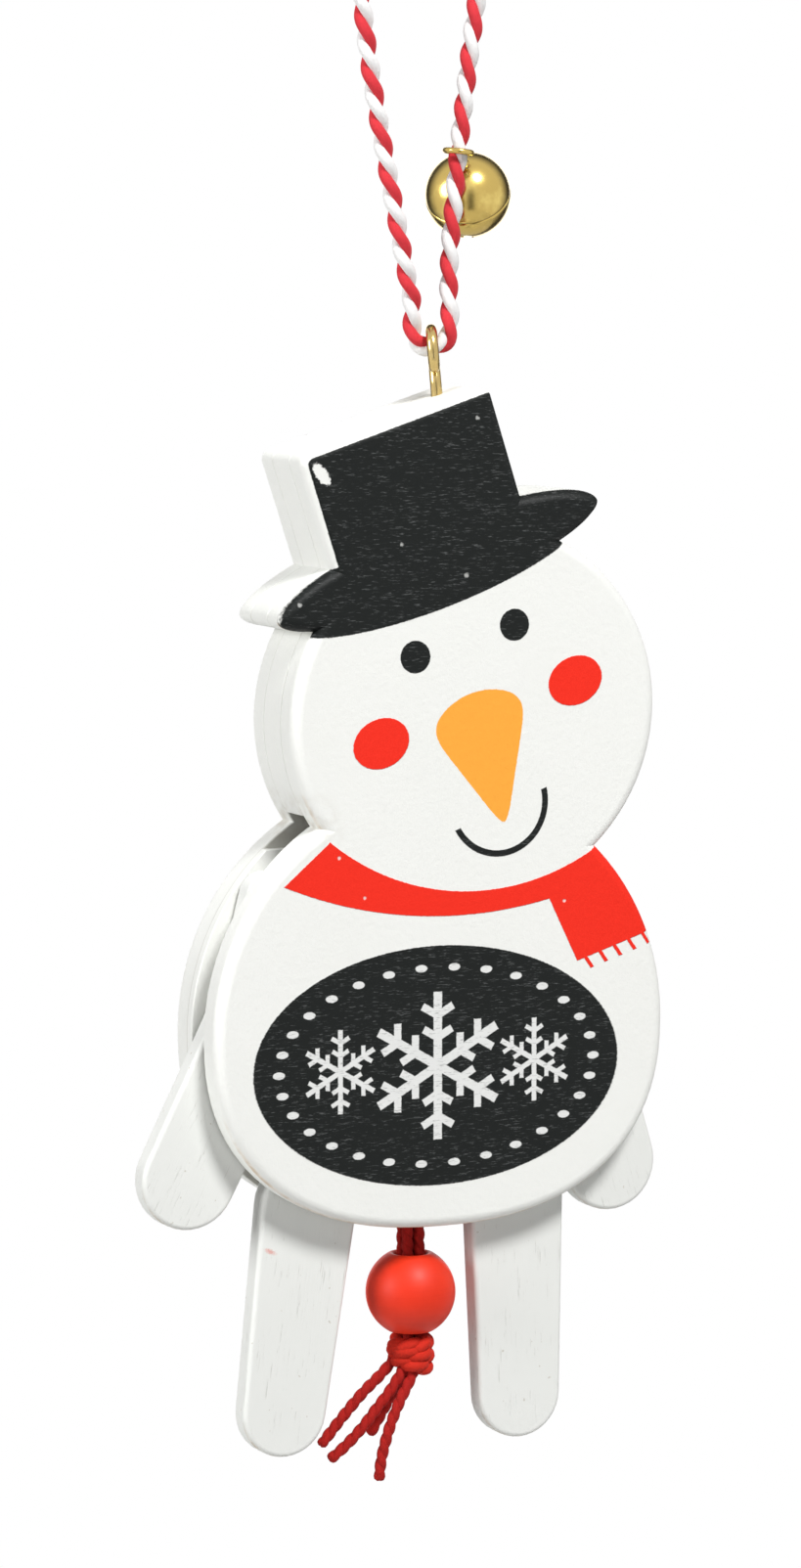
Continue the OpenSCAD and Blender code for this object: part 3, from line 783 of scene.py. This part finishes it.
# %% Distances of plain shapes
def oval(x, z, middle, half_w, half_h, tilt=0.0):
    c, s = math.cos(math.radians(tilt)), math.sin(math.radians(tilt))
    dx, dz = x - middle[0], z - middle[1]
    u, v = (dx * c + dz * s) * (1 / half_w), (dz * c - dx * s) * (1 / half_h)
    return ((u * u + v * v).by("SQRT") - 1) * min(half_w, half_h)


def edge(x, z, first, second):
    """Distance to the right of the line from the first point to the second."""
    along = Vector(second) - Vector(first)
    along.normalize()
    return (x - first[0]) * along[1] - (z - first[1]) * along[0]


def from_middle(x, z, middle):
    dx, dz = x - middle[0], z - middle[1]
    return (dx * dx + dz * dz).by("SQRT")


print("distances: oval, edge, from_middle")

# %% Shapes of hat and face
hat_lean = math.radians(18)


def hat_print(x, z):
    c, s = math.cos(hat_lean), math.sin(hat_lean)
    dx, dz = x + 1.546, z + 21.153
    u, v = dx * c + dz * s, dz * c - dx * s
    crown = (abs(u + 0.1) - 10.8).soft_high(v - 14.5, 1.2).high(-1 * v)
    brim = oval(u, v, (0.43, 0.0), 18.9, 3.75).low(oval(u, v, (-0.75, -0.35), 17.85, 4.3))
    return crown.low(brim)


def nose_print(x, z):
    sides = edge(x, z, (4.6, -47.6), (-2.3, -39.3)) * -1
    sides = sides.soft_high(edge(x, z, (6.0, -47.3), (7.8, -36.3)), 1.0)
    return sides.soft_high(from_middle(x, z, (3.91, -41.8)) - 7.4, 3.2)


def smile_print(x, z):
    stroke = abs(from_middle(x, z, (4.84, -46.0)) - 5.24) - 0.33
    below = edge(x, z, (0.4, -48.5), (10.05, -44.7)) * -1
    return stroke.high(below)


print("print shapes: hat, nose, smile")

# %% Shapes of scarf and oval
fringe_pitch = 1.72


def scarf_print(x, z):
    neck = 25.75 - from_middle(x, z, (2.3, -29.22))
    band = neck.high(from_middle(x, z, (-0.13, -9.07)) - 48.32)
    band = band.high(edge(x, z, (-13.84, -49.2), (-18.9, -53.5)))
    tail_side = edge(x, z, (10.65, -56.3), (13.8, -62.8))
    tail_end = edge(x, z, (22.0, -60.1), (13.8, -62.8)) * -1
    tail = neck.high(tail_side).high(tail_end)
    along = (x - 13.8) * 0.950 + (z + 62.8) * 0.313 - tail_end * 0.3
    strand = abs((along * (1 / fringe_pitch) - 0.1).by("FRACT") - 0.5) * fringe_pitch - 0.21
    fringe = strand.high(tail_end - 1.25).high(-0.3 - tail_end).high(-0.2 - along)
    return band.low(tail).low(fringe)


def snowflake_print(x, z, middle, reach, turn=0.0):
    """One arm with two pairs of twigs, folded six times round its middle."""
    dx, dz = x - middle[0], z - middle[1]
    sixth = dz.by("ARCTAN2", dx) * (3 / math.pi) + (0.5 - turn / 60)
    fold = abs(sixth.by("FRACT") - 0.5) * (math.pi / 3)
    r = (dx * dx + dz * dz).by("SQRT")
    p, q = r * fold.by("COSINE"), r * fold.by("SINE")
    width = 0.062 * reach
    flake = (q - width).high(p - reach)
    for at, size in ((0.38, 0.24), (0.68, 0.26)):
        up, across = (p - at * reach) * 0.5 + q * 0.866, (p - at * reach) * 0.866 - q * 0.5
        flake = flake.low((abs(across) - width * 0.85).high(up - size * reach).high(-1 * up))
    return flake


def dotted_rim(x, z, middle, half_w, half_h, count, dot_r):
    """Equal dots round an oval, one of them folded round its middle."""
    u, v = (x - middle[0]) * (1 / half_w), (z - middle[1]) * (1 / half_h)
    turn = v.by("ARCTAN2", u) * (count / (2 * math.pi)) + 0.5
    r = (u * u + v * v).by("SQRT")
    size = (half_w * half_h) ** 0.5
    across = (turn.by("FRACT") - 0.5) * (2 * math.pi / count * size)
    outward = (r - 1) * size
    return (across * across + outward * outward).by("SQRT") - dot_r


print("print shapes: scarf, snowflake, dotted rim")

# %% [markdown]
# ## Painted board
# The boards are coated white, a little warm, with a fine roller texture. The black ink has skipped in
# short level streaks, so some white shows through it. Edges get faint layer lines and grime in the
# seams, the front edge is tan in patches where it faces down, and a soft tan patch lies at the left
# of the neck. The back has one thin coat, so its grain shows.

# %% Inks of the board
badge_middle, badge_w, badge_h = (-1.97, -72.69), 20.4, 12.33
eyes = (((-4.48, -30.82), 1.66), ((6.58, -27.89), 1.64))
cheeks = (((-8.26, -39.47), 3.15, 2.53, 19.4), ((13.47, -33.83), 3.09, 2.5, 19.9))
hat_specks = (((-17.2, -25.2), 0.22), ((2.4, -6.8), 0.2), ((1.2, -22.7), 0.24), ((-6.0, -19.4), 0.16))
scarf_specks = ((-12.9, -50.9), (-10.1, -55.1), (12.3, -56.5))
flakes = (((-1.97, -72.7), 7.6), ((-12.8, -72.7), 4.3), ((8.9, -72.7), 4.3))
ink_edge = 0.07


def black_print(x, z, ragged, wobble):
    """Hat, eyes, smile and oval, with a chip at the hat's corner and a few specks."""
    black = (hat_print(x, z) + ragged).ink(ink_edge)
    for middle, r in eyes:
        black = black.high((from_middle(x, z, middle) - r + ragged).ink(ink_edge))
    black = black.high((smile_print(x, z) + ragged * 0.5).ink(ink_edge))
    black = black.high((oval(x, z, badge_middle, badge_w, badge_h) + ragged).ink(0.08))
    chip = oval(x, z, (-14.8, -12.1), 1.3, 0.6, -52) + wobble * 0.5
    black = black * (1 - chip.ink(0.12))
    for middle, r in hat_specks:
        black = black * (1 - (from_middle(x, z, middle) - r + wobble * 0.35).ink(0.16) * 0.45)
    return black


def red_print(x, z, ragged, wobble):
    """Scarf and cheeks, with a few specks in the scarf."""
    red = (scarf_print(x, z) + ragged).ink(ink_edge)
    for middle, w, h, tilt in cheeks:
        red = red.high((oval(x, z, middle, w, h, tilt) + ragged).ink(ink_edge))
    for middle in scarf_specks:
        red = red * (1 - (from_middle(x, z, middle) - 0.16 + wobble * 0.2).ink(0.12) * 0.7)
    return red


def white_motif(x, z):
    """The dotted rim and the snowflakes inside the oval."""
    motif = dotted_rim(x, z, badge_middle, 17.6, 10.1, 30, 0.5)
    for middle, reach in flakes:
        motif = motif.low(snowflake_print(x, z, middle, reach, 30))
    return motif


print("inks: black, red, white motif with", len(flakes), "snowflakes")

# %% Coat of the board
layer_grey, seam_grime, grain_grey = rgb(0.76, 0.77, 0.735), rgb(0.46, 0.44, 0.38), rgb(0.70, 0.70, 0.65)
down_edge_tan_colour, neck_corner_tan_colour, speck_tan = rgb(0.50, 0.36, 0.21), rgb(0.42, 0.35, 0.26), rgb(0.42, 0.36, 0.27)
slot_half, print_end, back_start = 2.15, 4.62, 5.5


def board_coat(start, place, x, y, z):
    """Colour and relief of the coat: layers and grime at the edge, tan on down-facing edges and by the neck,
    grain behind.
    """
    coat = grain(start, place, 0.06).mix(rgb(0.845, 0.85, 0.815), rgb(0.885, 0.89, 0.86))
    side = (abs(y) - 4.6).ink(0.6)
    layers = grain(start, place, (0.12, 5, 0.12), scale=1.3)
    coat = ((layers * 0.5 + 0.25) * side * 0.5).mix(coat, layer_grey)
    back_seam, front_seam = ((abs(y - at) - 0.05).ink(0.14) for at in (slot_half, -slot_half))
    coat = ((back_seam * 0.6 + front_seam * 0.25) * side).mix(coat, seam_grime)
    patches = grain(start, place, 0.5, detail=4)
    # Tan, in patches, on the part of the front edge that faces down.
    down_edge_tan = (abs(y + 4.75) - 0.32).ink(0.35) * (facing_up(start) + 0.45).ink(0.3)
    coat = (down_edge_tan * (0.42 - patches).ink(0.3) * 0.7).mix(coat, down_edge_tan_colour)
    # A soft tan patch, broken by noise, round the corner at the left of the neck.
    neck_corner_tan = (from_middle(x, z, (-15.6, -47.6)) - 2.2).ink(3.0) * (0.55 - patches).ink(0.2)
    coat = (neck_corner_tan * 0.35).mix(coat, neck_corner_tan_colour)
    on_back = (back_start - y).ink(0.3)
    pores = grain(start, place, (1.8, 1.8, 0.12), scale=1.2, detail=5, roughness=0.65)
    coat = ((0.55 - pores).ink(0.3) * on_back * 0.45).mix(coat, grain_grey)
    specks = (0.76 - grain(start, place, 1.3, detail=1)).ink(0.03)
    coat = (specks * on_back * 0.4).mix(coat, speck_tan)
    return coat, layers * side * 0.8 + pores * on_back * 0.9


print("coat helper: board_coat")

# %% Painted board
def painted_board():
    material, skin, start, place, (x, y, z) = new_finish("painted_board")
    wobble = grain(start, place, 3.2, detail=2) - 0.5
    ragged = wobble * 0.12
    streak_noise = grain(start, place, (0.75, 1, 5.5), scale=1.5, detail=4, roughness=0.62)
    streaks = (0.63 - streak_noise).ink(0.11)
    fine = grain(start, place, 9, detail=2)
    on_front = (y + print_end).ink(0.12)
    black = black_print(x, z, ragged, wobble) * on_front
    red = red_print(x, z, ragged, wobble) * on_front
    orange = (nose_print(x, z) + ragged).ink(ink_edge) * on_front
    motif = (white_motif(x, z) + ragged).ink(0.08) * (1 - streaks * 0.5) * on_front
    red_ink = fine.mix(rgb(0.78, 0.010, 0.004), rgb(0.98, 0.044, 0.020))
    black_ink = (streaks * 0.85).mix(rgb(0.004, 0.0055, 0.005), rgb(0.095, 0.10, 0.10))

    coat, relief = board_coat(start, place, x, y, z)
    colour = orange.mix(coat, rgb(0.95, 0.40, 0.05))
    colour = red.mix(colour, red_ink)
    colour = black.mix(colour, black_ink)
    feed(skin, "Base Color", motif.mix(colour, rgb(0.78, 0.785, 0.77)))
    feed(skin, "Roughness", 0.46 + fine * 0.12 - black * 0.05)
    roller = grain(start, place, 1.6)
    relief = relief + roller * 0.6 + fine * 0.25 + (black + red).low(1) * 0.8
    feed(skin, "Normal", bump(start, relief, 0.11, 0.7))
    feed(skin, "Specular IOR Level", 0.2)
    return material


board_finish = painted_board()
for piece in list(boards.values()) + rims:
    piece.data.materials.append(board_finish)
print("painted board:", len(board_finish.node_tree.nodes), "nodes")

# %% [markdown]
# ## Painted limbs
# The limbs have one thin coat, so hairline cracks follow the grain along each limb, and a few
# specks, a smear of red and tan on the down-facing front edges show. The grain follows the limb's own
# direction, so each limb gets its own copy of the finish, turned by the angle at which it hangs.

# %% Painted limbs
def painted_limb(name, pin, angle):
    material, skin, start, place, (x, y, z) = new_finish(name + "_paint")
    c, s = math.cos(math.radians(angle)), math.sin(math.radians(angle))
    dx, dz = x - pin[0], z - pin[1]
    across, down = dx * c + dz * s, dz * c - dx * s
    spot = start.node("ShaderNodeCombineXYZ", None, {0: across, 1: y, 2: down})
    fine = grain(start, place, 8, detail=2)
    cracks_noise = grain(start, spot, (3.6, 3.6, 0.22), scale=1.2, detail=5, roughness=0.7)
    cracks = (0.35 - cracks_noise).ink(-0.06)
    specks = (0.77 - grain(start, place, 1.5, detail=1)).ink(0.03)
    coat = grain(start, place, 0.08).mix(rgb(0.79, 0.80, 0.77), rgb(0.83, 0.838, 0.81))
    coat = (cracks * 0.4).mix(coat, rgb(0.46, 0.45, 0.41))
    coat = (specks * 0.45).mix(coat, speck_tan)
    smear = (oval(x, z, (-18.98, -91.3), 0.5, 0.2, -25) + (fine - 0.5) * 0.4).ink(0.25)
    coat = (smear * 0.6).mix(coat, rgb(0.72, 0.16, 0.11))
    patches = grain(start, place, 0.6, detail=4)
    # Tan, in patches, on the part of the front edge that faces down.
    down_edge_tan = (abs(y + 1.45) - 0.2).ink(0.3) * (facing_up(start) + 0.3).ink(0.5) * (0.5 - patches).ink(0.3)
    coat = (down_edge_tan * 0.75).mix(coat, rgb(0.45, 0.34, 0.22))
    feed(skin, "Base Color", coat)
    feed(skin, "Roughness", 0.44 + fine * 0.14)
    feed(skin, "Normal", bump(start, fine * 0.3 + cracks_noise * 0.6 - cracks * 0.8, 0.05, 0.5))
    feed(skin, "Specular IOR Level", 0.4)
    return material


limb_pins = {
    "left_arm": ((-18.67, -65.997), -27.5), "right_arm": ((13.73, -65.997), 17.5),
    "left_leg": ((-13.67, -80.597), -7.5), "right_leg": ((8.73, -80.597), 1.0)}
for node, (pin, angle) in limb_pins.items():
    limbs[node].data.materials.append(painted_limb(node, pin, angle))
print("limb finishes:", len(limb_pins))

# %% [markdown]
# ## Brass
# The eye and the bell are polished brass: a metal with a low roughness, darker and browner where it
# has been handled. Only a little noise in colour and roughness is needed, because the reflections do the
# rest.

# %% Brass
def polished_brass(name, light, dark, rough):
    material, skin, start, place, _ = new_finish(name)
    tarnish = grain(start, place, 0.35, detail=4)
    fine = grain(start, place, 5)
    spots = (0.62 - tarnish).ink(-0.25)
    feed(skin, "Base Color", (spots * 0.7).mix(light, dark))
    feed(skin, "Metallic", 1.0)
    feed(skin, "Roughness", rough + tarnish * 0.08 + fine * 0.05)
    feed(skin, "Normal", bump(start, fine * 0.6 + tarnish, 0.02, 0.25))
    return material


bell_brass = polished_brass("bell_brass", rgb(0.86, 0.67, 0.22), rgb(0.50, 0.34, 0.09), 0.13)
eye_brass = polished_brass("eye_brass", rgb(0.80, 0.62, 0.28), rgb(0.48, 0.34, 0.12), 0.12)
for piece in (bell_upper, bell_lower, bell_loop):
    piece.data.materials.clear()
    piece.data.materials.append(bell_brass)
screw_eye.data.materials.append(eye_brass)
print("brass on bell and eye")

# %% [markdown]
# ## Yarn
# Yarn is many fine fibres: it is dull, its fibres run along the ply, and single ones stand up and
# catch the light. Noise that is stretched along the twine gives the fibres, and a sheen on the shader
# gives the soft edge.

# %% Yarn
def yarn(name, light, dark, sheen):
    material, skin, start, place, _ = new_finish(name)
    fibres = grain(start, place, (5.5, 5.5, 2.2), scale=1.6, detail=4, roughness=0.65)
    slub = grain(start, place, 0.7)
    feed(skin, "Base Color", (fibres * 0.7 + slub * 0.4 - 0.05).mix(dark, light))
    feed(skin, "Roughness", 0.75 + fibres * 0.15)
    feed(skin, "Normal", bump(start, fibres, 0.12, 0.8))
    feed(skin, "Sheen Weight", sheen)
    feed(skin, "Sheen Roughness", 0.4)
    feed(skin, "Specular IOR Level", 0.25)
    return material


red_ply = yarn("twine_red_ply", rgb(0.80, 0.055, 0.07), rgb(0.56, 0.02, 0.03), 0.1)
white_ply = yarn("twine_white_ply", rgb(0.92, 0.91, 0.90), rgb(0.86, 0.85, 0.85), 0.1)
dark_red = yarn("red_string", rgb(0.56, 0.016, 0.010), rgb(0.26, 0.006, 0.005), 0.02)
# The knot is tied from the same string but gets a brighter copy of its red: painted light where the knot
# faces the lamp.
string_red_lit_copy = yarn("string_red_lit_copy", rgb(0.80, 0.036, 0.014), rgb(0.44, 0.012, 0.006), 0.02)
for piece in (twine, twine_knot):
    piece.data.materials.append(red_ply)
    piece.data.materials.append(white_ply)
for piece in list(strings.values()) + list(ties.values()):
    piece.data.materials.append(dark_red)
# The knot wears the lit, brighter copy of the string red.
pull_knot.data.materials.append(string_red_lit_copy)
print("yarn on", 3 + len(strings) + len(ties), "pieces")

# %% [markdown]
# ## Bead lacquer
# The bead is turned on a lathe and dipped in red lacquer. Fine level rings from the tool show through
# the coat, so a wave along its axis gives a slight bump, and a thin clear coat gives the broad highlight.

# %% Bead lacquer
def bead_lacquer():
    material, skin, start, place, _ = new_finish("bead_lacquer")
    rings = grain(start, place, (0.12, 0.12, 5.0), scale=1.4, detail=4)
    cloud = grain(start, place, 0.4)
    fine = grain(start, place, 7, detail=2)
    tone = cloud * 0.6 + rings * 0.4
    feed(skin, "Base Color", tone.mix(rgb(0.68, 0.020, 0.004), rgb(0.87, 0.042, 0.008)))
    feed(skin, "Roughness", 0.47 + fine * 0.1)
    feed(skin, "Specular IOR Level", 0.3)
    feed(skin, "Normal", bump(start, rings * 0.7 + fine * 0.3, 0.04, 0.4))
    feed(skin, "Coat Weight", 0.12)
    feed(skin, "Coat Roughness", 0.38)
    return material


bead.data.materials.append(bead_lacquer())
print("bead lacquer made")

# %% [markdown]
# ## Pins and the ball in the bell
# The four pins are bare beech rods, and the loose ball is plain steel. Their solids have the right
# shape, so they stay as they are and only get a finish: long pores along the rod, and a dull scuffed
# metal.

# %% Pins and the ball in the bell
def beech():
    material, skin, start, place, _ = new_finish("beech_pin")
    pores = grain(start, place, (4, 0.5, 4), scale=1.4, detail=5, roughness=0.7)
    feed(skin, "Base Color", pores.mix(rgb(0.50, 0.33, 0.17), rgb(0.72, 0.54, 0.33)))
    feed(skin, "Roughness", 0.55 + pores * 0.2)
    feed(skin, "Normal", bump(start, pores, 0.05, 0.5))
    return material


def scuffed_steel():
    material, skin, start, place, _ = new_finish("scuffed_steel")
    scuffs = grain(start, place, 2.5, detail=5, roughness=0.7)
    feed(skin, "Base Color", scuffs.mix(rgb(0.42, 0.42, 0.43), rgb(0.62, 0.62, 0.61)))
    feed(skin, "Metallic", 1.0)
    feed(skin, "Roughness", 0.3 + scuffs * 0.25)
    feed(skin, "Normal", bump(start, scuffs, 0.02, 0.4))
    return material


beech_pin, steel = beech(), scuffed_steel()
for node, finish in [(n, beech_pin) for n in solids if n.endswith("_pin")] + [("bell_pellet", steel)]:
    solids[node].data.materials.clear()
    solids[node].data.materials.append(finish)
print("beech pins and a steel ball")

# %% [markdown]
# ## Light and background
# The toy hangs in front of plain white under broad soft light: one large lamp high in front, one
# weaker lamp on the left, one behind for the plain back, and a pale surround. The background is white
# because the world is white to the camera, and not because the lamps are strong. The light of the
# surround comes mostly from the front, less from behind and the sides, and hardly from below. Metal
# needs dark parts of a room to reflect, so to reflections the world is dark behind the toy and in a
# strip in front. A pale floor lies well below.

# %% World
scene = bpy.context.scene
scene.view_settings.view_transform = "Standard"
world = bpy.data.worlds.new("pale_studio")
scene.world = world
world.use_nodes = True
sky = world.node_tree.nodes["Background"]
light = Dye(world.node_tree)
to_camera, to_gloss, to_glass = (
    light.node("ShaderNodeLightPath", out=name)
    for name in ("Is Camera Ray", "Is Glossy Ray", "Is Transmission Ray"))
way = light.node("ShaderNodeTexCoord", out="Generated")


def share_along(direction):
    return light.node("ShaderNodeVectorMath", {"operation": "DOT_PRODUCT"}, {0: way, 1: direction},
                      out="Value")


to_front, to_top = share_along(towards_camera), share_along((0, 0, 1))
to_right = share_along((math.cos(view_turn), -math.sin(view_turn), 0))
dark_wall, strip_depth, surround = 0.06, 0.8, 0.51
room = dark_wall + (1 - dark_wall) * (-0.42 - to_front).ink(0.5)
strip = (abs(to_right - 0.12) - 0.16).ink(0.2) * (0.35 - to_front).ink(0.4) * (to_top - 0.2).ink(0.5)
room = room * (1 - strip_depth * strip)
along = 0.55 + 0.12 * to_front + 0.33 * to_front * to_front
above = 0.72 + 0.36 * to_top - 0.30 * to_top * to_top
shown = to_camera.high(to_glass)
strength = shown + (1 - shown) * (to_gloss * room + (1 - to_gloss) * (surround * along * above))
sky.inputs["Color"].default_value = rgb(1, 1, 1)
world.node_tree.links.new(strength.socket, sky.inputs["Strength"])
print("world of", len(world.node_tree.nodes), "nodes")

# %% Floor
bpy.ops.mesh.primitive_circle_add(vertices=96, radius=0.5, fill_type="NGON", location=(0, 0, -0.42))
floor = bpy.context.object
floor.name = "floor"
floor_finish, floor_skin, start, place, _ = new_finish("pale_floor")
tone = grain(start, place, 0.02, detail=4)
feed(floor_skin, "Base Color", tone.mix(rgb(0.75, 0.75, 0.74), rgb(0.79, 0.79, 0.78)))
feed(floor_skin, "Roughness", 0.8)
floor.data.materials.append(floor_finish)
print("floor at", floor.location.z, "m")

# %% Lamps
def soft_lamp(name, place, aim, size, power):
    lamp = bpy.data.objects.new(name, bpy.data.lights.new(name, "AREA"))
    lamp.data.shape, lamp.data.size, lamp.data.energy = "DISK", size, power
    lamp.location = place
    lamp.rotation_euler = (Vector(place) - Vector(aim)).to_track_quat("Z", "Y").to_euler()
    scene.collection.objects.link(lamp)


aim = (0, 0, -0.05)
soft_lamp("high_front", (0.10, -0.61, 0.65), aim, 0.24, 8.5)
soft_lamp("left_side", (-0.9, -0.02, 0.2), aim, 0.5, 6.0)
soft_lamp("back_fill", (0.35, 0.80, -0.05), aim, 0.9, 3.6)
